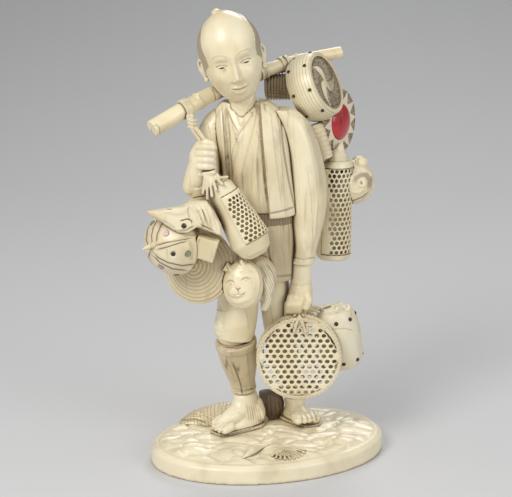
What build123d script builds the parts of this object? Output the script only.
"""Okimono carving: a pedlar with a carrying pole hung with baskets, drums and toys, on an oval base."""

from build123d import *
import math
import os

os.makedirs("parts", exist_ok=True)

# The whole carving: X to the viewer's right, Y away from the viewer, Z up from the base's underside
figure_height = 230.0

# Oval base with its stepped, rounded ground
base_length = 128.0
base_width = 92.0
base_wall = 8.8
base_turn = 20.0
base_edge = 1.0
ground_ledge = 2.0
ground_rise = 1.2
mound_lift = 1.6
ground_top = base_wall + ground_rise

# Shells carved on the ground
spiral_length = 15.0
spiral_radius = 3.2
spiral_turns = 4
scallop_radius = 6.5
scallop_height = 2.6
scallop_ribs = 9
scallop_groove = 0.5

# Straw hat and straw bundle lying behind the feet
ground_hat_length = 52.0
ground_hat_width = 19.0
ground_hat_height = 9.0
bundle_width = 14.0
bundle_depth = 11.0
bundle_height = 15.0

# Feet and sandals
foot_width = 12.0
sandal_thickness = 1.8
sandal_margin = 0.8
toe_radius = 1.4
foot_peg_radius = 2.0
foot_peg_depth = 6.0
foot_peg_rise = 7.0

# Legs
thigh_width = 21.0
thigh_depth = 22.0
far_thigh_width = 16.0
gaiter_width = 20.5
gaiter_depth = 21.0
far_gaiter_width = 15.0
tie_height = 3.2
tie_lift = 0.8

# Skirt, belt, robe and coat
skirt_width = 34.0
skirt_depth = 29.0
belt_height = 6.5
belt_width = 34.4
belt_depth = 28.0
robe_width = 35.0
robe_depth = 29.0
coat_thickness = 1.8
lapel_thickness = 1.0
collar_thickness = 1.0
waist_dowel_radius = 4.0
waist_dowel_length = 26.0

# Neck, head and topknot
neck_radius = 7.0
head_width = 31.0
head_depth = 39.0
ear_height = 10.0
ear_depth = 5.0
ear_width = 2.6
knot_radius = 2.6
knot_length = 8.0

# Arms
sleeve_width = 20.4
sleeve_depth = 20.8
near_sleeve_width = 14.0
near_sleeve_depth = 15.0
forearm_radius = 4.9
near_forearm_radius = 5.6
hand_width = 13.6
hand_depth = 9.4
fist_width = 12.6
fist_depth = 11.0
finger_radius = 1.75
finger_length = 7.0

# Bamboo pole with its joints, bindings and front strap
pole_butt_radius = 4.6
pole_tip_radius = 3.2
bamboo_joint_lift = 0.5
bamboo_joint_width = 1.2
binding_radius = 0.75
strap_radius = 1.2
strap_spread = 1.8
strap_knot_radius = 2.4

# Creels: oval tubes with a window of hexagonal mesh and a lid
creel_wall = 1.0
front_creel_length = 42.0
front_creel_width = 17.0
front_creel_depth = 22.0
rear_creel_length = 54.0
rear_creel_width = 20.0
rear_creel_depth = 18.0
mesh_strips = 7
mesh_opening = 2.5
mesh_bar = 1.1
lid_height = 6.0

# Toys of the front load
cap_length = 38.0
cap_height = 19.0
cap_depth = 14.0
cap_fold = 0.9
bead_radius = 1.8
bead_depth = 1.6
top_radius = 17.0
top_height = 17.0
top_back = 12.0
top_peg_radius = 1.6
top_peg_length = 8.0
inlay_radius = 1.5
inlay_depth = 1.0
inlay_stand = 0.25
hat_radius = 20.0
hat_height = 9.0
hat_rings = 9
hat_ring_step = 0.8
hat_brim = 2.2
block_width = 9.0
block_height = 14.8
block_thickness = 2.6
mask_width = 21.6
mask_height = 27.0
mask_depth = 9.0
mask_ear = 4.8
mask_muzzle = 5.2
mask_cloth_width = 17.0
mask_cloth_height = 24.0
mask_cloth_depth = 10.0

# Left hand's load: round basket and small drum on hand cords
basket_radius = 22.0
basket_depth = 9.0
basket_wall = 1.4
basket_lip = 1.0
basket_lip_lift = 0.6
basket_slots = 24
basket_slot_width = 1.8
net_thickness = 0.9
net_opening = 2.7
net_bar = 1.2
back_net_opening = 3.6
small_drum_radius = 12.0
small_drum_length = 33.0
small_drum_end = 8.5
small_drum_ring_radius = 3.2
small_drum_ring_wire = 1.2
cord_radius = 0.9
stud_radius = 0.9
stud_height = 1.6
stud_stand = 0.5

# Rear load: large drum, coil, sun disc, roll and toy ball
drum_radius = 16.8
drum_bulge = 1.6
drum_length = 15.0
drum_rim = 2.0
drum_head_inset = 0.8
drum_head_thickness = 1.4
drum_studs = 8
coil_radius = 7.2
coil_length = 13.0
coil_ridges = 8
coil_ridge = 0.8
disc_radius = 17.5
disc_thickness = 2.0
disc_rays = 12
ray_height = 0.7
boss_radius = 10.0
boss_height = 3.6
roll_radius = 4.4
roll_length = 19.0
roll_ribs = 7
roll_rib = 0.5
ball_radius = 11.4
ball_face_inset = 1.2
ball_tuft_radius = 4.6


def spot(x_share, y_share, z_share):
    """A place on the figure, in shares of its height above the ground."""
    return Vector(x_share * figure_height, y_share * figure_height, ground_top + z_share * figure_height)


def front_points(shares):
    """Outline points on the upright front plane, from shares of the figure's height."""
    return [(x * figure_height, ground_top + z * figure_height) for x, z in shares]


def level_ovals(shares, half_width, half_depth, grow=0):
    """Ovals on level planes; a row is the place's shares, then the width's and the depth's."""
    sections = []
    for x_share, y_share, z_share, width_share, depth_share in shares:
        with BuildSketch(Plane(origin=spot(x_share, y_share, z_share))) as section:
            Ellipse(half_width * width_share + grow, half_depth * depth_share + grow)
        sections.append(section.sketch)
    return sections


def limb_plane(start, end, along=0):
    """Plane square to the line from start to end, with its X as near the viewer's right as it goes."""
    z_dir = (end - start).normalized()
    x_dir = (Vector(1, 0, 0) - z_dir * z_dir.X).normalized()
    return Plane(origin=start + (end - start) * along, x_dir=x_dir, z_dir=z_dir)


def limb_ovals(start, end, half_width, half_depth, shares):
    """Ovals square to a limb; a row is the share along it, then the width's and the depth's."""
    sections = []
    for along, width_share, depth_share in shares:
        with BuildSketch(limb_plane(start, end, along)) as section:
            Ellipse(half_width * width_share, half_depth * depth_share)
        sections.append(section.sketch)
    return sections


def aimed_plane(centre, x_aim, y_aim, z_aim, x_dir=(0, 0, 1)):
    """Plane whose normal points along an aim given in parts of one."""
    z_dir = Vector(x_aim, y_aim, z_aim).normalized()
    across = Vector(x_dir)
    across = (across - z_dir * z_dir.dot(across)).normalized()
    return Plane(origin=centre, x_dir=across, z_dir=z_dir)


def finish(piece, name):
    """Label a finished piece and write its file."""
    piece.part.label = name
    export_step(piece.part, f"parts/{name}.step")


# Landmarks of the figure, in shares of its height
right_heel = spot(-0.012, 0.076, 0)
right_toe = spot(-0.126, 0.000, 0)
right_ankle = spot(-0.055, 0.061, 0.088)
right_knee = spot(-0.075, 0.026, 0.228)
right_hip = spot(-0.062, 0.040, 0.405)
left_heel = spot(0.040, 0.130, 0)
left_toe = spot(0.118, 0.052, 0)
left_ankle = spot(0.062, 0.112, 0.060)
left_knee = spot(0.026, 0.074, 0.228)
left_hip = spot(0.012, 0.058, 0.405)
waist = spot(-0.013, 0.043, 0.509)
neck_foot = spot(-0.055, 0.044, 0.735)
neck_top = spot(-0.062, 0.033, 0.850)
chin_level = spot(-0.058, 0.010, 0.795)
crown = spot(-0.104, 0.026, 1.000)
right_elbow = spot(-0.146, -0.004, 0.520)
right_wrist = spot(-0.158, -0.042, 0.615)
right_fist_top = spot(-0.139, -0.052, 0.712)
left_cuff = spot(0.081, 0.035, 0.418)
left_wrist = spot(0.077, 0.033, 0.345)
left_knuckles = spot(0.071, 0.026, 0.300)
base_plane = Plane.XY.rotated((0, 0, base_turn))

# Joint pins: foot pegs and the waist dowel, sealed inside
with BuildPart() as joint_pins:
    for heel, toe in ((right_heel, right_toe), (left_heel, left_toe)):
        sole_centre = (heel + toe) * 0.5
        with BuildSketch(Plane(origin=sole_centre).offset(-foot_peg_depth)):
            Circle(foot_peg_radius)
        extrude(amount=foot_peg_depth + sandal_thickness + foot_peg_rise)
    with BuildSketch(Plane(origin=waist).offset(-waist_dowel_length / 2)):
        Circle(waist_dowel_radius)
    extrude(amount=waist_dowel_length)

# Base: plain upright wall, a ledge, and a low ground with mounds
mound_shares = (
    (-0.36, -0.06, 0.075), (-0.20, -0.24, 0.085), (0.26, -0.24, 0.075),
    (0.37, 0.04, 0.065), (0.24, 0.26, 0.060), (0.03, -0.36, 0.050),
)
with BuildPart() as base:
    with BuildSketch(base_plane):
        Ellipse(base_length / 2, base_width / 2)
    extrude(amount=base_wall)
    fillet(base.edges().sort_by(Axis.Z)[-1], radius=base_edge)
    with BuildSketch(base_plane.offset(base_wall)):
        Ellipse(base_length / 2 - ground_ledge, base_width / 2 - ground_ledge)
    extrude(amount=ground_rise)
    fillet(base.edges().group_by(Axis.Z)[-1], radius=ground_rise / 2)
    for x_share, y_share, radius_share in mound_shares:
        mound_radius = radius_share * base_length
        cap_radius = (mound_radius**2 + mound_lift**2) / (2 * mound_lift)
        cap_angle = 90 - math.degrees(math.asin(mound_radius / cap_radius))
        mound_plane = base_plane.offset(ground_top + mound_lift - cap_radius)
        mound_place = mound_plane * Pos(x_share * base_length, y_share * base_width, 0)
        with Locations(mound_place):
            Sphere(cap_radius, arc_size1=cap_angle, arc_size2=90, align=None)
    add(joint_pins.part, mode=Mode.SUBTRACT)
finish(base, "base")

# Spiral shell: a slim spindle of ridged turns, lying on its side
spiral_start = spot(-0.070, -0.118, 0) + Vector(0, 0, spiral_radius)
with BuildPart() as spiral_shell:
    with BuildSketch(Plane(origin=spiral_start, x_dir=(1, 0.15, 0), z_dir=(0, 0, 1))):
        with BuildLine():
            turn_length = spiral_length / spiral_turns
            rim_points = [(0, 0)]
            for turn in range(spiral_turns):
                swell = math.sin(math.pi * (turn + 0.6) / (spiral_turns + 0.4))
                rim_points.append((turn_length * (turn + 0.15), spiral_radius * swell * 0.72))
                rim_points.append((turn_length * (turn + 0.6), spiral_radius * swell))
            rim_points.append((spiral_length, 0))
            Polyline(*rim_points)
            Line(rim_points[-1], rim_points[0])
        make_face()
    revolve(axis=Axis(spiral_start, (1, 0.15, 0)))
    add(base.part, mode=Mode.SUBTRACT)
finish(spiral_shell, "spiral_shell")

# Scallop: a low fan with radiating grooves
scallop_plane = Plane(origin=spot(0.058, -0.146, 0), x_dir=(1, 0.2, 0))
with BuildPart() as scallop_shell:
    with BuildSketch(scallop_plane):
        Ellipse(scallop_radius, scallop_radius * 0.8)
    extrude(amount=scallop_height, taper=40)
    for rib in range(1, scallop_ribs):
        groove_turn = 180 * rib / scallop_ribs
        with BuildSketch(scallop_plane.offset(scallop_height / 2)):
            with Locations(Location((0, -scallop_radius * 0.7, 0), (0, 0, groove_turn))):
                with Locations((scallop_radius, 0)):
                    Rectangle(scallop_radius * 1.4, scallop_groove)
        extrude(amount=scallop_height, mode=Mode.SUBTRACT)
    add(base.part, mode=Mode.SUBTRACT)
finish(scallop_shell, "scallop_shell")


def foot_plane(heel, toe):
    """Level plane at the middle of the foot, with its X running from heel to toe."""
    return Plane(origin=(heel + toe) * 0.5, x_dir=toe - heel, z_dir=(0, 0, 1))


# Sandals: flat straw soles that the feet stand on
with BuildPart() as sandals:
    for heel, toe in ((right_heel, right_toe), (left_heel, left_toe)):
        with BuildSketch(foot_plane(heel, toe)):
            SlotOverall((toe - heel).length + 2 * sandal_margin, foot_width + 2 * sandal_margin)
        extrude(amount=sandal_thickness)
    add(joint_pins.part, mode=Mode.SUBTRACT)
    add(base.part, mode=Mode.SUBTRACT)
finish(sandals, "sandals")

# Gaiters: fitted shins from below the knee to the ankle, with two ankle bands
calf_shares = ((0, 1.0, 1.0), (0.25, 1.02, 1.04), (0.6, 0.84, 0.86), (0.86, 0.64, 0.64), (1.08, 0.60, 0.60))
band_shares = (0.86, 0.94)


def gaiter(knee, ankle, width):
    """Gaiter of one leg, tapering to the ankle bands."""
    with BuildPart() as shin:
        loft(sections=limb_ovals(knee, ankle, width / 2, gaiter_depth / 2, calf_shares))
        split(bisect_by=Plane(origin=ankle), keep=Keep.TOP)
        for band in band_shares:
            with BuildSketch(limb_plane(knee, ankle, band)):
                Ellipse(width * 0.32 + tie_lift / 2, gaiter_depth * 0.32 + tie_lift / 2)
            extrude(amount=tie_height / 4, both=True)
    return shin


# Feet: a sole oval rising to the ankle, five toes and a socket for the peg
foot_rise_shares = ((0, 0, 1.0, 1.0), (0.12, -0.03, 0.96, 0.98), (0.42, -0.12, 0.60, 0.86), (1.0, -0.17, 0.42, 0.92))
toe_shares = ((-0.36, 1.0), (-0.12, 1.12), (0.10, 1.0), (0.28, 0.9), (0.43, 0.8))
instep_height = 11.0


def foot(heel, toe, ankle, shin):
    """Foot of one leg, cut to the gaiter that stands on it."""
    sole = foot_plane(heel, toe).offset(sandal_thickness)
    half_length = (toe - heel).length / 2
    sections = []
    for rise, back, length_share, width_share in foot_rise_shares:
        level = sole.offset(instep_height * rise)
        centre = level.from_local_coords((2 * half_length * back, 0, 0))
        with BuildSketch(Plane(origin=centre, x_dir=level.x_dir, z_dir=level.z_dir)) as section:
            Ellipse(half_length * length_share, foot_width / 2 * width_share)
        sections.append(section.sketch)
    with BuildSketch(Plane(origin=ankle)) as section:
        Circle(foot_width / 2 * 0.98)
    sections.append(section.sketch)
    with BuildPart() as whole:
        loft(sections=sections)
        for side, size in toe_shares:
            reach = math.sqrt(1 - (2 * side) ** 2) * half_length - toe_radius * 0.6
            place = sole.from_local_coords((reach, foot_width * side, toe_radius * size))
            with Locations(place):
                Sphere(toe_radius * size)
        split(bisect_by=sole, keep=Keep.TOP)
        add(shin.part, mode=Mode.SUBTRACT)
        add(joint_pins.part, mode=Mode.SUBTRACT)
    return whole


right_gaiter = gaiter(right_knee, right_ankle, gaiter_width)
left_gaiter = gaiter(left_knee, left_ankle, far_gaiter_width)
right_foot = foot(right_heel, right_toe, right_ankle, right_gaiter)
left_foot = foot(left_heel, left_toe, left_ankle, left_gaiter)
finish(right_foot, "right_foot")
finish(left_foot, "left_foot")

# Thighs: bare knees that run up into the skirt, cut flat onto the gaiters
thigh_shares = ((0, 0.92, 0.92), (0.12, 0.98, 1.0), (0.3, 1.04, 1.08), (0.65, 1.0, 0.98), (1, 1.02, 0.92))
with BuildPart() as right_thigh:
    loft(sections=limb_ovals(right_knee, right_hip, thigh_width / 2, thigh_depth / 2, thigh_shares))
    add(right_gaiter.part, mode=Mode.SUBTRACT)
with BuildPart() as left_thigh:
    loft(sections=limb_ovals(left_knee, left_hip, far_thigh_width / 2, thigh_depth / 2, thigh_shares))
    add(left_gaiter.part, mode=Mode.SUBTRACT)
    add(right_thigh.part, mode=Mode.SUBTRACT)
finish(right_thigh, "right_thigh")
finish(left_thigh, "left_thigh")
finish(right_gaiter, "right_gaiter")
finish(left_gaiter, "left_gaiter")

# Gaiter ties: raised bands wound round the top of each gaiter
with BuildPart() as gaiter_ties:
    for knee, ankle, width in (
        (right_knee, right_ankle, gaiter_width),
        (left_knee, left_ankle, far_gaiter_width),
    ):
        with BuildSketch(limb_plane(knee, ankle).offset(tie_height / 3)):
            Ellipse(width / 2 * 1.01 + tie_lift, gaiter_depth / 2 * 1.01 + tie_lift)
        extrude(amount=tie_height)
    for part in (right_gaiter, left_gaiter, right_thigh, left_thigh):
        add(part.part, mode=Mode.SUBTRACT)
finish(gaiter_ties, "gaiter_ties")

# Ground hat and bundle, lying behind the right foot
hat_rise_shares = ((0, 1.0, 1.0), (0.35, 0.86, 0.88), (0.8, 0.55, 0.55), (1.0, 0.25, 0.3))
ground_hat_plane = Plane(origin=spot(-0.100, 0.098, 0), x_dir=(1, 0.16, 0))
with BuildPart() as ground_hat:
    sections = []
    for rise, length_share, width_share in hat_rise_shares:
        with BuildSketch(ground_hat_plane.offset(ground_hat_height * rise)) as section:
            Ellipse(ground_hat_length / 2 * length_share, ground_hat_width / 2 * width_share)
        sections.append(section.sketch)
    loft(sections=sections)
    for part in (base, sandals, right_foot, right_gaiter):
        add(part.part, mode=Mode.SUBTRACT)
with BuildPart() as ground_bundle:
    with BuildSketch(Plane(origin=spot(0.004, 0.122, 0))):
        Ellipse(bundle_width / 2, bundle_depth / 2)
    extrude(amount=bundle_height, taper=6)
    for part in (base, sandals, right_foot, left_foot, right_gaiter, left_gaiter, ground_hat):
        add(part.part, mode=Mode.SUBTRACT)
finish(ground_hat, "ground_hat")
finish(ground_bundle, "ground_bundle")

# Skirt: the robe below the belt, with sockets for the thighs
skirt_shares = (
    (-0.013, 0.043, 0.372, 0.98, 1.0), (-0.013, 0.043, 0.42, 1.0, 1.0),
    (-0.013, 0.043, 0.47, 1.02, 1.0), (-0.013, 0.043, 0.509, 0.99, 0.96),
)
with BuildPart() as skirt:
    loft(sections=level_ovals(skirt_shares, skirt_width / 2, skirt_depth / 2))
    for part in (right_thigh, left_thigh, joint_pins):
        add(part.part, mode=Mode.SUBTRACT)
finish(skirt, "skirt")

# Belt: a short drum between the skirt and the robe
with BuildPart() as belt:
    with BuildSketch(Plane(origin=waist)):
        Ellipse(belt_width / 2, belt_depth / 2)
    extrude(amount=belt_height)
    add(joint_pins.part, mode=Mode.SUBTRACT)
finish(belt, "belt")

# Neck: the visible neck with its tenons into the robe and the head
neck_shares = ((0, 1.1, 1.1), (0.5, 1, 1), (1, 0.9, 0.9))
with BuildPart() as neck:
    loft(sections=limb_ovals(neck_foot, neck_top, neck_radius, neck_radius, neck_shares))

# Robe body: chest and back between the belt and the neck
robe_shares = (
    (0.578, -0.020, 0.040, 1.00, 1.00), (0.652, -0.030, 0.040, 1.00, 1.00),
    (0.717, -0.039, 0.043, 1.02, 0.87), (0.757, -0.045, 0.048, 0.92, 0.66), (0.778, -0.050, 0.050, 0.58, 0.48),
)
belt_top_share = (waist.Z + belt_height - ground_top) / figure_height
robe_rows = [(-0.013, 0.043, belt_top_share, 0.96, 0.94)]
robe_rows += [(x, y, z, width, depth) for z, x, y, width, depth in robe_shares]
coat_rows = [(-0.013, 0.043, belt_top_share - 0.010, 0.99, 0.98)] + robe_rows[1:]
coat_rows[-1] = (-0.050, 0.050, 0.786, 0.58, 0.48)
with BuildPart() as robe_body:
    loft(sections=level_ovals(robe_rows, robe_width / 2, robe_depth / 2))
    add(neck.part, mode=Mode.SUBTRACT)
    add(joint_pins.part, mode=Mode.SUBTRACT)
finish(robe_body, "robe_body")

# Bamboo pole across the shoulders, bowed, with raised joints
pole_shares = (
    (-0.259, -0.035, 0.739), (-0.178, 0.017, 0.778), (-0.124, 0.052, 0.805), (-0.057, 0.096, 0.825),
    (0.001, 0.135, 0.843), (0.075, 0.174, 0.856), (0.171, 0.217, 0.867),
)
pole_section_shares = (0, 0.25, 0.43, 0.60, 0.78, 1)
with BuildLine() as pole_line:
    Spline(*[spot(*shares) for shares in pole_shares])


def pole_plane(share):
    """Plane square to the pole at a share of its length."""
    return aimed_plane(pole_line.line @ share, *(pole_line.line % share))


def pole_radius(share):
    """Radius of the tapered pole at a share of its length."""
    return pole_butt_radius + (pole_tip_radius - pole_butt_radius) * share


with BuildPart() as carrying_pole:
    for start, end in zip(pole_section_shares, pole_section_shares[1:]):
        aim = (pole_line.line @ end) - (pole_line.line @ start)
        with BuildSketch(Plane(origin=pole_line.line @ start, z_dir=aim)) as near_end:
            Circle(pole_radius(start))
        with BuildSketch(Plane(origin=pole_line.line @ end, z_dir=aim)) as far_end:
            Circle(pole_radius(end))
        loft()
    for share in pole_section_shares[1:-1]:
        with BuildSketch(pole_plane(share)):
            Circle(pole_radius(share) + bamboo_joint_lift)
        extrude(amount=bamboo_joint_width / 2, both=True)
finish(carrying_pole, "carrying_pole")

# Head: an oval skull on the neck, tilted to the viewer's left, with two ears
head_shares = (
    (0, 0.38, 0.42), (0.07, 0.65, 0.68), (0.22, 0.84, 0.90), (0.45, 0.96, 1.0),
    (0.70, 1.0, 1.0), (0.88, 0.80, 0.80), (0.97, 0.48, 0.50), (1, 0.24, 0.26),
)
ear_shares = (-1, 1)
with BuildPart() as head:
    loft(sections=limb_ovals(chin_level, crown, head_width / 2, head_depth / 2, head_shares))
    for side in ear_shares:
        ear_level = limb_plane(chin_level, crown, 0.44)
        ear_place = ear_level.from_local_coords((side * (head_width / 2 - ear_width / 4), ear_depth / 2, 0))
        with BuildSketch(Plane(origin=ear_place, x_dir=ear_level.z_dir, z_dir=ear_level.x_dir)):
            Ellipse(ear_height / 2, ear_depth / 2)
        extrude(amount=ear_width / 2, both=True)
    add(neck.part, mode=Mode.SUBTRACT)
    add(carrying_pole.part, mode=Mode.SUBTRACT)
with neck:
    add(carrying_pole.part, mode=Mode.SUBTRACT)
finish(neck, "neck")

# Topknot: a short folded queue lying on the crown
knot_start = limb_plane(chin_level, crown, 0.97).from_local_coords((0, head_depth * 0.20, 0))
knot_aim = Vector(0.15, -1, 0.1)
with BuildPart() as topknot:
    with BuildSketch(Plane(origin=knot_start, z_dir=knot_aim)):
        Ellipse(knot_radius, knot_radius * 0.8)
    extrude(amount=knot_length / 2, both=True)
    fillet(topknot.edges(), radius=knot_radius * 0.5)
    add(head.part, mode=Mode.SUBTRACT)
finish(head, "head")
finish(topknot, "topknot")

# Coat: an open shell over the robe, parted at the front
coat_opening_shares = (
    (-0.100, 0.83), (-0.022, 0.83), (-0.013, 0.730), (0.006, 0.500), (-0.089, 0.500), (-0.0935, 0.674),
)
with BuildPart() as coat:
    loft(sections=level_ovals(coat_rows, robe_width / 2, robe_depth / 2, coat_thickness))
    for part in (robe_body, belt, neck, carrying_pole):
        add(part.part, mode=Mode.SUBTRACT)
    with BuildSketch(Plane.XZ.offset(-waist.Y / 2)):
        Polygon(*front_points(coat_opening_shares), align=None)
    extrude(amount=robe_depth, mode=Mode.SUBTRACT)
    add(joint_pins.part, mode=Mode.SUBTRACT)
finish(coat, "coat")

# Lapels: raised bands along both front edges of the coat
wide_lapel_shares = (
    (-0.022, 0.80), (-0.013, 0.730), (0.004, 0.529), (0.040, 0.529), (0.026, 0.730), (0.012, 0.80),
)
narrow_lapel_shares = (
    (-0.100, 0.80), (-0.0935, 0.674), (-0.089, 0.529), (-0.099, 0.529), (-0.104, 0.674), (-0.112, 0.80),
)
with BuildPart() as lapels:
    loft(sections=level_ovals(coat_rows, robe_width / 2, robe_depth / 2, coat_thickness + lapel_thickness))
    with BuildSketch(Plane.XZ.offset(-waist.Y / 2)):
        Polygon(*front_points(wide_lapel_shares), align=None)
        Polygon(*front_points(narrow_lapel_shares), align=None)
    extrude(amount=robe_depth, mode=Mode.INTERSECT)
    for part in (coat, robe_body, belt, neck, carrying_pole, head):
        add(part.part, mode=Mode.SUBTRACT)
finish(lapels, "lapels")

# Inner collar: crossed neckbands of the robe inside the coat
inner_collar_shares = (
    (-0.100, 0.80), (-0.066, 0.700), (-0.082, 0.62), (-0.068, 0.60), (-0.030, 0.75), (-0.022, 0.80),
    (-0.036, 0.80), (-0.061, 0.735), (-0.085, 0.80),
)
with BuildPart() as inner_collar:
    loft(sections=level_ovals(robe_rows, robe_width / 2, robe_depth / 2, collar_thickness))
    with BuildSketch(Plane.XZ.offset(-waist.Y / 2)):
        Polygon(*front_points(inner_collar_shares), align=None)
    extrude(amount=robe_depth, mode=Mode.INTERSECT)
    for part in (coat, robe_body, lapels, neck, head, carrying_pole):
        add(part.part, mode=Mode.SUBTRACT)
finish(inner_collar, "inner_collar")

# Sleeves: the far one hangs full length, the near one folds up to the fist
left_sleeve_shares = (
    (0.030, 0.048, 0.768, 0.62, 0.62), (0.057, 0.052, 0.730, 0.88, 0.86), (0.080, 0.052, 0.670, 0.90, 0.93),
    (0.090, 0.052, 0.600, 1.00, 1.00), (0.091, 0.048, 0.520, 0.94, 0.96), (0.081, 0.035, 0.410, 0.66, 0.70),
)
right_sleeve_shares = (
    (-0.100, 0.052, 0.766, 0.70, 0.72), (-0.126, 0.048, 0.722, 1.0, 1.0), (-0.135, 0.026, 0.652, 1.0, 1.0),
    (-0.143, 0.006, 0.587, 1.0, 1.0), (-0.146, -0.002, 0.525, 0.9, 0.9),
)
torso_parts = (robe_body, coat, lapels, belt, skirt, neck)
with BuildPart() as left_sleeve:
    loft(sections=level_ovals(left_sleeve_shares, sleeve_width / 2, sleeve_depth / 2))
    for part in torso_parts:
        add(part.part, mode=Mode.SUBTRACT)
with BuildPart() as right_sleeve:
    loft(sections=level_ovals(right_sleeve_shares, near_sleeve_width / 2, near_sleeve_depth / 2))
    for part in torso_parts:
        add(part.part, mode=Mode.SUBTRACT)
finish(left_sleeve, "left_sleeve")
finish(right_sleeve, "right_sleeve")


def fingers(plane, count, pitch):
    """Row of rounded fingers across a plane, each along the plane's normal."""
    with BuildPart() as row:
        for finger in range(count):
            offset = (finger - (count - 1) / 2) * pitch
            with Locations(plane * Pos(offset, 0, 0)):
                Cylinder(finger_radius, finger_length)
            for end in (-1, 1):
                with Locations(plane * Pos(offset, 0, end * finger_length / 2)):
                    Sphere(finger_radius)
    return row


# Right forearm: raised from the sleeve, ending in the fist that grips the strap
forearm_shares = ((0, 1, 1), (0.6, 0.95, 0.95), (1, 0.82, 0.88))
fist_shares = ((0, 0.72, 0.78), (0.3, 0.98, 0.95), (0.7, 1.02, 1.0), (0.95, 0.8, 0.8), (1, 0.6, 0.6))
fist_fingers_plane = Plane(
    origin=(right_wrist + right_fist_top) * 0.5 + Vector(fist_width * 0.20, -fist_depth * 0.36, 0),
    x_dir=right_fist_top - right_wrist, z_dir=(1, 0, 0),
)
with BuildPart() as right_forearm:
    loft(sections=limb_ovals(right_elbow, right_wrist, near_forearm_radius, near_forearm_radius, forearm_shares))
    loft(sections=limb_ovals(right_wrist, right_fist_top, fist_width / 2, fist_depth / 2, fist_shares))
    add(fingers(fist_fingers_plane, 4, finger_radius * 1.9).part)
    for part in torso_parts + (right_sleeve,):
        add(part.part, mode=Mode.SUBTRACT)
finish(right_forearm, "right_forearm")

# Left forearm and hand, hanging from the cuff and gripping the cords
hanging_arm_shares = ((0, 1, 1), (0.6, 1.0, 1.0), (1, 1.1, 0.9))
with BuildPart() as left_forearm:
    loft(sections=limb_ovals(left_cuff, left_wrist, forearm_radius, forearm_radius, hanging_arm_shares))
    for part in (left_sleeve, skirt):
        add(part.part, mode=Mode.SUBTRACT)
hand_shares = ((-0.02, 0.78, 0.98), (0.35, 1.0, 1.0), (0.8, 1.0, 0.9), (1, 0.78, 0.7))
hand_fingers_plane = Plane(
    origin=left_knuckles + Vector(-hand_width * 0.12, -hand_depth * 0.25, 0), x_dir=(1, 0, 0), z_dir=(0, 0, 1),
)
with BuildPart() as left_hand:
    loft(sections=limb_ovals(left_wrist, left_knuckles, hand_width / 2, hand_depth / 2, hand_shares))
    add(fingers(hand_fingers_plane, 4, finger_radius * 1.6).part)
    for part in (left_forearm, left_thigh):
        add(part.part, mode=Mode.SUBTRACT)
finish(left_forearm, "left_forearm")
finish(left_hand, "left_hand")

# Front strap: a loop round the pole, a knot and two strands into the fist
strap_share = 0.2
strap_plane = pole_plane(strap_share)
strap_knot = strap_plane.origin + Vector(0, 0, -pole_butt_radius - strap_knot_radius)
strap_end = right_fist_top + Vector(0, -fist_depth * 0.15, -fist_width * 0.2)
with BuildPart() as front_strap:
    with Locations(pole_plane(strap_share + 0.012)):
        Torus(pole_radius(strap_share) + strap_radius, strap_radius)
    with Locations(strap_knot):
        Sphere(strap_knot_radius)
    for side in (-1, 1):
        strand = Vector(side * strap_spread * 0.7, 0, 0)
        run = strap_end - strap_knot
        with BuildSketch(Plane(origin=strap_knot + strand * 0.5, z_dir=run)):
            Circle(strap_radius)
        extrude(amount=run.length)
    for part in (carrying_pole, right_forearm, right_sleeve, coat):
        add(part.part, mode=Mode.SUBTRACT)
finish(front_strap, "front_strap")


def mesh_outline(half_width, half_depth):
    """Corners of the faceted mesh, from one edge of the window round the front to the other."""
    corners = []
    for corner in range(mesh_strips + 1):
        angle = math.radians(180 * (corner + 0.35) / (mesh_strips + 0.7))
        corners.append((half_width * math.cos(angle), half_depth * math.sin(angle)))
    return corners


def creel_ends(plane, length, shares):
    """Planes and size shares at both ends of a creel's mesh, the third section and the third from last."""
    return [(plane.offset(shares[index][0] * length), shares[index][1]) for index in (2, -3)]


def creel_mesh(plane, width, depth, length, shares):
    """Faceted mesh of a creel: tapered flat strips, each with a row of six-sided openings."""
    ends = creel_ends(plane, length, shares)
    pitch = mesh_opening + mesh_bar
    rows = int(((shares[-3][0] - shares[2][0]) * length - mesh_bar) / pitch)
    with BuildPart() as mesh:
        for end_plane, size in ends:
            outer = mesh_outline(width / 2 * size, depth / 2 * size)
            inner = mesh_outline(width / 2 * size - creel_wall, depth / 2 * size - creel_wall)
            with BuildSketch(end_plane):
                Polygon(*(outer + inner[::-1]), align=None)
        loft(ruled=True)
        low_outline, high_outline = (mesh_outline(width / 2 * size, depth / 2 * size) for _, size in ends)
        for strip in range(mesh_strips):
            low_start = ends[0][0].from_local_coords((*low_outline[strip], 0))
            low_end = ends[0][0].from_local_coords((*low_outline[strip + 1], 0))
            high_start = ends[1][0].from_local_coords((*high_outline[strip], 0))
            high_end = ends[1][0].from_local_coords((*high_outline[strip + 1], 0))
            low_middle = (low_start + low_end) * 0.5
            upward = ((high_start + high_end) * 0.5 - low_middle).normalized()
            outward = (low_end - low_start).cross(upward)
            stagger = pitch / 4 if strip % 2 else -pitch / 4
            centre = ((high_start + high_end) * 0.5 + low_middle) * 0.5 + upward * stagger
            with BuildSketch(Plane(origin=centre, x_dir=upward, z_dir=outward)):
                with GridLocations(pitch, pitch, rows, 1):
                    RegularPolygon(mesh_opening / 2, 6)
            extrude(amount=creel_wall * 2, both=True, mode=Mode.SUBTRACT)
    return mesh


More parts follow.
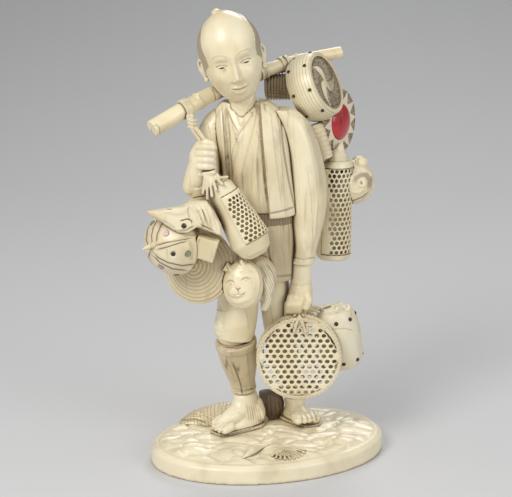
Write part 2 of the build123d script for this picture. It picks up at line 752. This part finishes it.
def creel_body(plane, width, depth, length, shares):
    """Tapered oval shell of a creel with a rounded foot and the window that holds its mesh."""
    with BuildPart() as cavity:
        for along, size in shares[1:-1]:
            with BuildSketch(plane.offset(along * length)):
                Ellipse(width / 2 * size - creel_wall, depth / 2 * size - creel_wall)
        loft(ruled=True)
    with BuildPart() as window:
        for end_plane, size in creel_ends(plane, length, shares):
            corners = mesh_outline(width / 2 * size, depth / 2 * size)
            inner = mesh_outline(width / 2 * size - creel_wall, depth / 2 * size - creel_wall)
            with BuildSketch(end_plane):
                Polygon(
                    inner[0], corners[0], (width * size, corners[0][1]), (width * size, depth * size),
                    (-width * size, depth * size), (-width * size, corners[-1][1]), corners[-1], inner[-1],
                    align=None,
                )
        loft(ruled=True)
    with BuildPart() as shell:
        for along, size in shares:
            with BuildSketch(plane.offset(along * length)):
                Ellipse(width / 2 * size, depth / 2 * size)
        loft(ruled=True)
        for hollow in (cavity, window):
            add(hollow.part, mode=Mode.SUBTRACT)
    return shell


def creel_lid(plane, width, depth, length, size):
    """Tapered lid that closes the mouth of a creel whose top section has a given size share."""
    with BuildPart() as lid:
        with BuildSketch(plane.offset(length / 2)):
            Ellipse(width / 2 * size * 0.9, depth / 2 * size * 0.9)
        with BuildSketch(plane.offset(length / 2 + lid_height)):
            Ellipse(width / 2 * size * 0.65, depth / 2 * size * 0.65)
        loft()
    return lid


# Creels: one hangs from the fist before the chest, one behind the far shoulder
front_creel_shares = ((-0.50, 0.48), (-0.44, 0.78), (-0.30, 1.0), (0.36, 0.74), (0.47, 0.66), (0.50, 0.56))
rear_creel_shares = ((-0.50, 0.80), (-0.48, 0.92), (-0.44, 1.0), (0.44, 0.92), (0.48, 0.86), (0.50, 0.76))
front_creel_plane = aimed_plane(spot(-0.067, -0.080, 0.541), -0.49, 0.10, 0.86, x_dir=(-0.38, -0.91, -0.12))
rear_creel_plane = aimed_plane(spot(0.158, 0.135, 0.510), 0.03, 0.05, 1.0, x_dir=(-0.80, -0.60, 0))
front_creel_sizes = (front_creel_plane, front_creel_width, front_creel_depth, front_creel_length)
rear_creel_sizes = (rear_creel_plane, rear_creel_width, rear_creel_depth, rear_creel_length)
front_creel = creel_body(*front_creel_sizes, front_creel_shares)
front_creel_mesh = creel_mesh(*front_creel_sizes, front_creel_shares)
rear_creel = creel_body(*rear_creel_sizes, rear_creel_shares)
rear_creel_mesh = creel_mesh(*rear_creel_sizes, rear_creel_shares)
with BuildPart() as creel_lids:
    add(creel_lid(*front_creel_sizes, front_creel_shares[-1][1]).part)
    add(creel_lid(*rear_creel_sizes, rear_creel_shares[-1][1]).part)
    for part in (right_forearm, front_strap, coat, lapels):
        add(part.part, mode=Mode.SUBTRACT)
finish(front_creel, "front_creel")
finish(front_creel_mesh, "front_creel_mesh")
finish(rear_creel, "rear_creel")
finish(rear_creel_mesh, "rear_creel_mesh")
finish(creel_lids, "creel_lids")


def turned(plane, profile):
    """Solid of revolution about a plane's normal, from outline points of radius and height."""
    with BuildPart() as solid:
        with BuildSketch(Plane(origin=plane.origin, x_dir=plane.x_dir, z_dir=-plane.y_dir)):
            Polygon(*profile, align=None)
        revolve(axis=Axis(plane.origin, plane.z_dir))
    return solid


def dome(plane, radius, height, back):
    """Dome of a given radius and height on a plane, with a conical back below it."""
    with BuildPart() as solid:
        with BuildSketch(Plane(origin=plane.origin, x_dir=plane.x_dir, z_dir=-plane.y_dir)):
            with BuildLine():
                EllipticalCenterArc((0, 0), radius, height, start_angle=0, arc_size=90)
                Polyline((0, height), (0, -back), (radius * 0.5, -back), (radius, 0))
            make_face()
        revolve(axis=Axis(plane.origin, plane.z_dir))
    return solid


def stud(plane, radius, depth, stand):
    """Small inlaid disc, sunk by its depth below a plane and standing a little above it."""
    with BuildPart() as disc:
        with BuildSketch(plane.offset(-depth)):
            Circle(radius)
        extrude(amount=depth + stand)
    return disc


# Spinning top: a gored dome with an ivory peg, inlaid with horn, coral and shell spots
top_plane = aimed_plane(spot(-0.2055, -0.068, 0.486), -0.75, -0.62, 0)
with BuildPart() as top_peg:
    with BuildSketch(top_plane.offset(top_height * 0.7)):
        Circle(top_peg_radius)
    with BuildSketch(top_plane.offset(top_height * 0.7 + top_peg_length)):
        Circle(top_peg_radius * 0.35)
    loft()
finish(top_peg, "top_peg")


def top_spot_plane(fall, turn):
    """Plane touching the top's dome at a share of the way from its peg to its rim, turned round it."""
    radius = top_radius * math.sin(math.radians(90 * fall))
    height = top_height * math.cos(math.radians(90 * fall))
    place = top_plane.from_local_coords(
        (radius * math.cos(math.radians(turn)), radius * math.sin(math.radians(turn)), height))
    lean = Vector(radius / top_radius**2, 0, height / top_height**2).normalized()
    side = top_plane.x_dir * math.cos(math.radians(turn)) + top_plane.y_dir * math.sin(math.radians(turn))
    return Plane(origin=place, z_dir=side * lean.X + top_plane.z_dir * lean.Z)


horn_spot_shares = ((0.52, 262), (0.88, 192))
coral_spot_shares = ((0.47, 318), (0.44, 200))
shell_spot_shares = ((0.52, 25), (0.81, 263))
cap_plane = aimed_plane(spot(-0.166, -0.106, 0.545), 0.22, -0.96, 0.18)
cap_face = Plane(origin=cap_plane.origin, x_dir=cap_plane.z_dir.cross(Vector(0, 0, -1)), z_dir=cap_plane.z_dir)
bead_plane = Plane(cap_face * Pos(-cap_length * 0.11, -cap_height * 0.10, cap_depth / 2))


def spots(places):
    """Inlaid spots on the dome of the top."""
    with BuildPart() as group:
        for fall, turn in places:
            add(stud(top_spot_plane(fall, turn), inlay_radius, inlay_depth, inlay_stand).part)
    return group


horn_inlays = spots(horn_spot_shares)
with horn_inlays:
    add(stud(bead_plane, bead_radius, bead_depth, inlay_stand).part)
coral_inlays = spots(coral_spot_shares)
shell_inlays = spots(shell_spot_shares)
with BuildPart() as spinning_top:
    add(dome(top_plane, top_radius, top_height, top_back).part)
    for part in (horn_inlays, coral_inlays, shell_inlays, top_peg):
        add(part.part, mode=Mode.SUBTRACT)
finish(spinning_top, "spinning_top")
finish(coral_inlays, "coral_inlays")
finish(shell_inlays, "shell_inlays")

# Pointed cap: a folded toy beak, thickest in the middle and running to a point on the viewer's left
cap_outline_shares = (
    (-0.66, 0.36), (-0.37, 0.40), (-0.18, 0.44), (-0.05, 0.57), (0.18, 0.55), (0.28, 0.26), (0.37, -0.12),
    (0.38, -0.46), (0.18, -0.30), (0.02, -0.16), (-0.13, -0.32), (-0.24, -0.28), (-0.45, 0.04), (-0.62, 0.24),
)
cap_layer_shares = ((-0.50, 0.80), (0, 1.0), (0.30, 0.97), (0.50, 0.84))
cap_fold_shares = (0.30, 0.19, 0.08)
cap_fold_plane = Plane(cap_face * Pos(0, cap_height * 0.1, cap_depth / 2))
front_neighbours = (
    spinning_top, top_peg, horn_inlays, coral_inlays, shell_inlays, right_forearm, right_sleeve,
    front_creel, front_creel_mesh, creel_lids, coat, lapels, skirt, belt,
)
with BuildPart() as pointed_cap:
    for layer, size in cap_layer_shares:
        with BuildSketch(cap_face.offset(layer * cap_depth)):
            Polygon(*[(x * size * cap_length, z * size * cap_height) for x, z in cap_outline_shares], align=None)
    loft(ruled=True)
    for fold in cap_fold_shares:
        with BuildSketch(cap_fold_plane):
            with Locations((cap_length * fold * 0.5, 0)):
                SlotCenterToCenter(cap_height * 0.5, cap_fold, rotation=-70)
        extrude(amount=cap_fold, both=True)
    for part in front_neighbours:
        add(part.part, mode=Mode.SUBTRACT)
finish(pointed_cap, "pointed_cap")
finish(horn_inlays, "horn_inlays")

# Cat mask: a domed oval face with two ears and a low muzzle
mask_plane = aimed_plane(spot(-0.056, -0.064, 0.385), -0.18, -0.95, 0.22, x_dir=(1, 0, 0))
mask_layer_shares = ((0, 1.0), (0.55, 0.90), (0.85, 0.66), (1.0, 0.36))
mask_ear_shares = ((-0.34, 0.33), (0.02, 0.41))
with BuildPart() as cat_face:
    for layer, size in mask_layer_shares:
        with BuildSketch(mask_plane.offset(mask_depth * layer)):
            Ellipse(mask_width / 2 * size, mask_height / 2 * size)
    loft(ruled=True)
    for side, height in mask_ear_shares:
        with BuildSketch(mask_plane * Pos(side * mask_width, height * mask_height, 0)):
            RegularPolygon(mask_ear, 3, rotation=90)
        extrude(amount=mask_depth * 0.8, taper=8)
    with BuildSketch(mask_plane.offset(mask_depth * 0.8) * Pos(-mask_width * 0.08, -mask_height * 0.12, 0)):
        Ellipse(mask_muzzle, mask_muzzle * 0.75)
    extrude(amount=mask_depth * 0.3, taper=30)
    for part in front_neighbours + (pointed_cap, right_thigh):
        add(part.part, mode=Mode.SUBTRACT)
with BuildPart() as cat_mask:
    add(cat_face.solids().sort_by(SortBy.VOLUME)[-1])

# Ringed straw hat: a shallow cone of stepped rings with a flat back
ringed_hat_plane = aimed_plane(spot(-0.155, -0.020, 0.418), -0.42, -0.88, 0.22)
hat_profile = [(0, 0), (hat_radius, 0), (hat_radius, hat_brim)]
for ring in range(1, hat_rings):
    reach = hat_radius * (1 - ring / hat_rings)
    rise = hat_brim + (hat_height - hat_brim) * ring / hat_rings
    hat_profile.append((reach + hat_ring_step, rise))
    hat_profile.append((reach, rise + hat_ring_step / 2))
hat_profile.append((0, hat_height))
with BuildPart() as ringed_hat:
    add(turned(ringed_hat_plane, hat_profile).part)
    for part in front_neighbours + (pointed_cap, right_thigh, cat_mask):
        add(part.part, mode=Mode.SUBTRACT)
finish(ringed_hat, "ringed_hat")

# Wooden block: a thin slab leaning against the top and the hat
block_plane = aimed_plane(spot(-0.149, -0.108, 0.486), -0.15, -0.97, 0.20, x_dir=(0.25, 0, 1))
with BuildPart() as toy_block:
    with BuildSketch(block_plane.offset(-block_thickness)):
        RectangleRounded(block_height, block_width, block_thickness / 4)
    extrude(amount=2 * block_thickness)
    for part in front_neighbours + (pointed_cap, ringed_hat, cat_mask):
        add(part.part, mode=Mode.SUBTRACT)
finish(toy_block, "toy_block")

# Mask cloth: the folds that hang behind the mask
mask_cloth_plane = aimed_plane(spot(-0.016, -0.038, 0.390), 0.10, -0.98, 0.10, x_dir=(1, 0, 0))
with BuildPart() as mask_cloth:
    with BuildSketch(mask_cloth_plane.offset(-mask_cloth_depth * 0.6)):
        Ellipse(mask_cloth_width / 2 * 0.9, mask_cloth_height / 2 * 0.9)
    with BuildSketch(mask_cloth_plane):
        Ellipse(mask_cloth_width / 2, mask_cloth_height / 2)
    with BuildSketch(mask_cloth_plane.offset(mask_cloth_depth * 0.4)):
        Ellipse(mask_cloth_width / 2 * 0.8, mask_cloth_height / 2 * 0.85)
    loft()
    for part in (cat_mask, ringed_hat, skirt, right_thigh, left_thigh, front_creel, front_creel_mesh):
        add(part.part, mode=Mode.SUBTRACT)
finish(cat_mask, "cat_mask")
finish(mask_cloth, "mask_cloth")

# Round basket: a slotted rim with two lips, closed by a fine net before and a coarse net behind
basket_plane = aimed_plane(spot(0.072, -0.014, 0.197), 0, -1, 0, x_dir=(1, 0, 0))
slot_length = basket_depth - 2 * basket_lip - 2 * net_thickness - basket_slot_width
with BuildPart() as round_basket_rim:
    with BuildSketch(basket_plane.offset(-basket_depth / 2)):
        Circle(basket_radius)
        Circle(basket_radius - basket_wall, mode=Mode.SUBTRACT)
    extrude(amount=basket_depth)
    for end in (-1, 1):
        with BuildSketch(basket_plane.offset(end * (basket_depth - basket_lip) / 2)):
            Circle(basket_radius + basket_lip_lift)
            Circle(basket_radius - basket_wall, mode=Mode.SUBTRACT)
        extrude(amount=basket_lip / 2, both=True)
    for slot in range(basket_slots):
        slot_turn = Plane(basket_plane * Rot(0, 0, 360 * slot / basket_slots))
        with BuildSketch(Plane(origin=slot_turn.origin, x_dir=slot_turn.z_dir, z_dir=slot_turn.x_dir)):
            Rectangle(slot_length, basket_slot_width)
        extrude(amount=basket_radius + basket_lip_lift, mode=Mode.SUBTRACT)


def net(plane, opening, bar):
    """Flat net in a round frame: one disc pierced by six-sided openings."""
    pitch = opening + bar
    inner = basket_radius - basket_wall
    columns = int(2 * inner / pitch) + 2
    with BuildPart() as disc:
        with BuildSketch(plane):
            Circle(inner)
            with HexLocations(pitch / 2, columns, columns) as grid:
                places = [place.position for place in grid.local_locations]
            with Locations(*[place for place in places if place.length < inner - opening * 0.62]):
                RegularPolygon(opening / 2, 6, major_radius=False, mode=Mode.SUBTRACT)
        extrude(amount=net_thickness)
    return disc


round_basket_net = net(basket_plane.offset(basket_depth / 2 - basket_lip - net_thickness), net_opening, net_bar)
round_basket_back = net(basket_plane.offset(-basket_depth / 2 + basket_lip), back_net_opening, net_bar * 1.4)
finish(round_basket_net, "round_basket_net")
finish(round_basket_back, "round_basket_back")

# Small drum: a tilted barrel with a ring on top
small_drum_plane = aimed_plane(spot(0.168, 0.062, 0.222), -0.18, -0.10, 0.98, x_dir=(1, 0, 0))
barrel_shares = ((-0.5, 0.74), (-0.3, 0.96), (0, 1.0), (0.3, 0.95), (0.5, 0.72))
with BuildPart() as small_drum:
    with BuildSketch(Plane(
            origin=small_drum_plane.origin, x_dir=small_drum_plane.x_dir, z_dir=-small_drum_plane.y_dir)):
        with BuildLine():
            Spline(*[(small_drum_radius * width, small_drum_length * rise) for rise, width in barrel_shares])
            Polyline(
                (small_drum_radius * barrel_shares[-1][1], small_drum_length / 2), (0, small_drum_length / 2),
                (0, -small_drum_length / 2), (small_drum_radius * barrel_shares[0][1], -small_drum_length / 2),
            )
        make_face()
    revolve(axis=Axis(small_drum_plane.origin, small_drum_plane.z_dir))
    ring_rise = small_drum_length / 2 + small_drum_ring_wire * 0.5
    with Locations(small_drum_plane * Pos(-small_drum_radius * 0.3, 0, ring_rise)):
        Torus(small_drum_ring_radius, small_drum_ring_wire)
    add(round_basket_rim.part, mode=Mode.SUBTRACT)
with left_hand:
    for part in (round_basket_rim, small_drum):
        add(part.part, mode=Mode.SUBTRACT)
finish(left_hand, "left_hand")

# Large drum: a bulged shell with a rim at each end, two heads and horn studs
drum_plane = aimed_plane(spot(0.108, 0.133, 0.801), 0.834, -0.369, 0.410)
with BuildPart() as large_drum_heads:
    for end in (-1, 1):
        head_level = end * (drum_length / 2 - drum_head_inset - drum_head_thickness / 2)
        with BuildSketch(drum_plane.offset(head_level)):
            Circle(drum_radius - drum_rim)
        extrude(amount=drum_head_thickness / 2, both=True)
with BuildPart() as large_drum:
    with BuildSketch(Plane(origin=drum_plane.origin, x_dir=drum_plane.x_dir, z_dir=-drum_plane.y_dir)):
        with BuildLine():
            ThreePointArc(
                (drum_radius, -drum_length / 2), (drum_radius + drum_bulge, 0), (drum_radius, drum_length / 2))
            Polyline(
                (drum_radius, drum_length / 2), (0, drum_length / 2), (0, -drum_length / 2),
                (drum_radius, -drum_length / 2))
        make_face()
    revolve(axis=Axis(drum_plane.origin, drum_plane.z_dir))
    for end in (-1, 1):
        with BuildSketch(drum_plane.offset(end * drum_length / 2)):
            Circle(drum_radius - drum_rim)
        extrude(amount=-end * (drum_head_inset + drum_head_thickness), mode=Mode.SUBTRACT)
    for part in (carrying_pole, coat, left_sleeve):
        add(part.part, mode=Mode.SUBTRACT)
with large_drum_heads:
    add(carrying_pole.part, mode=Mode.SUBTRACT)


def rim_studs(plane, radius, length, count, rise):
    """Ring of studs round both ends of a drum."""
    with BuildPart() as ring:
        for end in (-1, 1):
            for place in range(count):
                turn = Plane(plane.offset(end * length * rise) * Rot(0, 0, 360 * place / count))
                side = Plane(origin=turn.from_local_coords((radius, 0, 0)), z_dir=turn.x_dir)
                add(stud(side, stud_radius, stud_height, stud_stand).part)
    return ring


with BuildPart() as horn_studs:
    add(rim_studs(drum_plane, drum_radius + drum_bulge * 0.6, drum_length, drum_studs, 0.33).part)
    add(rim_studs(small_drum_plane, small_drum_radius * 0.9, small_drum_length, drum_studs, 0.36).part)
    for part in (carrying_pole, coat, left_sleeve, round_basket_rim):
        add(part.part, mode=Mode.SUBTRACT)
for drum in (large_drum, small_drum):
    with drum:
        add(horn_studs.part, mode=Mode.SUBTRACT)
finish(large_drum_heads, "large_drum_heads")
finish(large_drum, "large_drum")
finish(small_drum, "small_drum")
finish(horn_studs, "horn_studs")
finish(round_basket_rim, "round_basket_rim")

# Ribbed coil under the pole beside the large drum
coil_plane = aimed_plane(spot(0.024, 0.146, 0.799), 1.0, -0.15, 0.05)
coil_profile = [(0, -coil_length / 2)]
for ridge in range(coil_ridges):
    low = -coil_length / 2 + coil_length * ridge / coil_ridges
    coil_profile.append((coil_radius - coil_ridge, low))
    coil_profile.append((coil_radius, low + coil_length / coil_ridges / 2))
coil_profile += [(coil_radius - coil_ridge, coil_length / 2), (0, coil_length / 2)]
with BuildPart() as ribbed_coil:
    add(turned(coil_plane, coil_profile).part)
    for part in (carrying_pole, large_drum, coat, left_sleeve, head):
        add(part.part, mode=Mode.SUBTRACT)
finish(ribbed_coil, "ribbed_coil")

# Sun disc: a flat disc with pointed rays and a red lens at its centre
disc_plane = aimed_plane(spot(0.1675, 0.172, 0.711), 0.85, -0.52, 0.04)
rear_neighbours = (
    large_drum, large_drum_heads, horn_studs, carrying_pole, left_sleeve, coat,
    rear_creel, rear_creel_mesh, creel_lids,
)
with BuildPart() as sun_boss:
    with BuildSketch(Plane(origin=disc_plane.origin, x_dir=disc_plane.x_dir, z_dir=-disc_plane.y_dir)):
        with BuildLine():
            EllipticalCenterArc((0, 0), boss_radius, boss_height, start_angle=0, arc_size=90)
            Polyline((0, boss_height), (0, 0), (boss_radius, 0))
        make_face()
    revolve(axis=Axis(disc_plane.origin, disc_plane.z_dir))
with BuildPart() as rayed_disc:
    with BuildSketch(disc_plane.offset(-disc_thickness)):
        Circle(disc_radius)
    extrude(amount=disc_thickness)
    for ray in range(disc_rays):
        ray_plane = disc_plane * Rot(0, 0, 360 * ray / disc_rays)
        half_step = disc_radius * math.pi / disc_rays
        with BuildSketch(ray_plane):
            Polygon(
                (boss_radius * 0.9, -half_step * 0.8), (disc_radius * 0.97, 0),
                (boss_radius * 0.9, half_step * 0.8), align=None)
        extrude(amount=ray_height)
    for part in (sun_boss,) + rear_neighbours:
        add(part.part, mode=Mode.SUBTRACT)
with BuildPart() as sun_disc:
    add(rayed_disc.solids().sort_by(SortBy.VOLUME)[-1])
with sun_boss:
    add(large_drum.part, mode=Mode.SUBTRACT)
finish(sun_disc, "sun_disc")
finish(sun_boss, "sun_boss")

# Ribbed roll hanging below the drum
roll_plane = aimed_plane(spot(0.120, 0.112, 0.678), -0.30, 0.10, 0.95)
roll_profile = [(0, -roll_length / 2), (roll_radius * 1.05, -roll_length / 2)]
for rib in range(roll_ribs):
    low = -roll_length / 2 + roll_length * (rib + 0.5) / (roll_ribs + 0.5)
    roll_profile.append((roll_radius, low))
    roll_profile.append((roll_radius + roll_rib, low + roll_length / roll_ribs * 0.4))
roll_profile += [(roll_radius * 0.9, roll_length / 2), (0, roll_length / 2)]
with BuildPart() as ribbed_roll:
    add(turned(roll_plane, roll_profile).part)
    for part in (sun_disc, sun_boss) + rear_neighbours:
        add(part.part, mode=Mode.SUBTRACT)
finish(ribbed_roll, "ribbed_roll")

# Toy ball: a round animal face with tufts, on the side of the rear creel
ball_plane = aimed_plane(spot(0.202, 0.165, 0.566), 0.55, -0.82, 0.10, x_dir=(1, 0, 0))
ball_tuft_shares = ((-0.35, 0.80), (0.30, 0.88))
with BuildPart() as toy_ball:
    with Locations(ball_plane):
        Sphere(ball_radius)
    for side, height in ball_tuft_shares:
        with Locations(ball_plane * Pos(side * ball_radius, height * ball_radius, 0)):
            Sphere(ball_tuft_radius)
    for part in (sun_disc, sun_boss, ribbed_roll) + rear_neighbours:
        add(part.part, mode=Mode.SUBTRACT)
finish(toy_ball, "toy_ball")

# Pole bindings: rings of cord round the pole above the load
with BuildPart() as pole_bindings:
    for share in (0.56, 0.585, 0.61, 0.70, 0.725):
        with BuildSketch(pole_plane(share)):
            Circle(pole_radius(share) + binding_radius)
        extrude(amount=binding_radius, both=True)
    for part in (carrying_pole, large_drum, ribbed_coil, coat, head, horn_studs):
        add(part.part, mode=Mode.SUBTRACT)
finish(pole_bindings, "pole_bindings")

# Hand cords: short carved cords from the fist to the basket's rim and the drum's ring
hand_cord_ends = (
    basket_plane.origin + Vector(-basket_radius * 0.12, 0, basket_radius),
    basket_plane.origin + Vector(basket_radius * 0.12, 0, basket_radius),
    small_drum_plane.from_local_coords((-small_drum_radius * 0.5, 0, ring_rise)),
)
with BuildPart() as hand_cords:
    for end in hand_cord_ends:
        run = end - left_knuckles
        with BuildSketch(Plane(origin=left_knuckles, z_dir=run)):
            Circle(cord_radius)
        extrude(amount=run.length)
    for part in (left_hand, round_basket_rim, small_drum, left_thigh, horn_studs):
        add(part.part, mode=Mode.SUBTRACT)
finish(hand_cords, "hand_cords")
finish(joint_pins, "joint_pins")
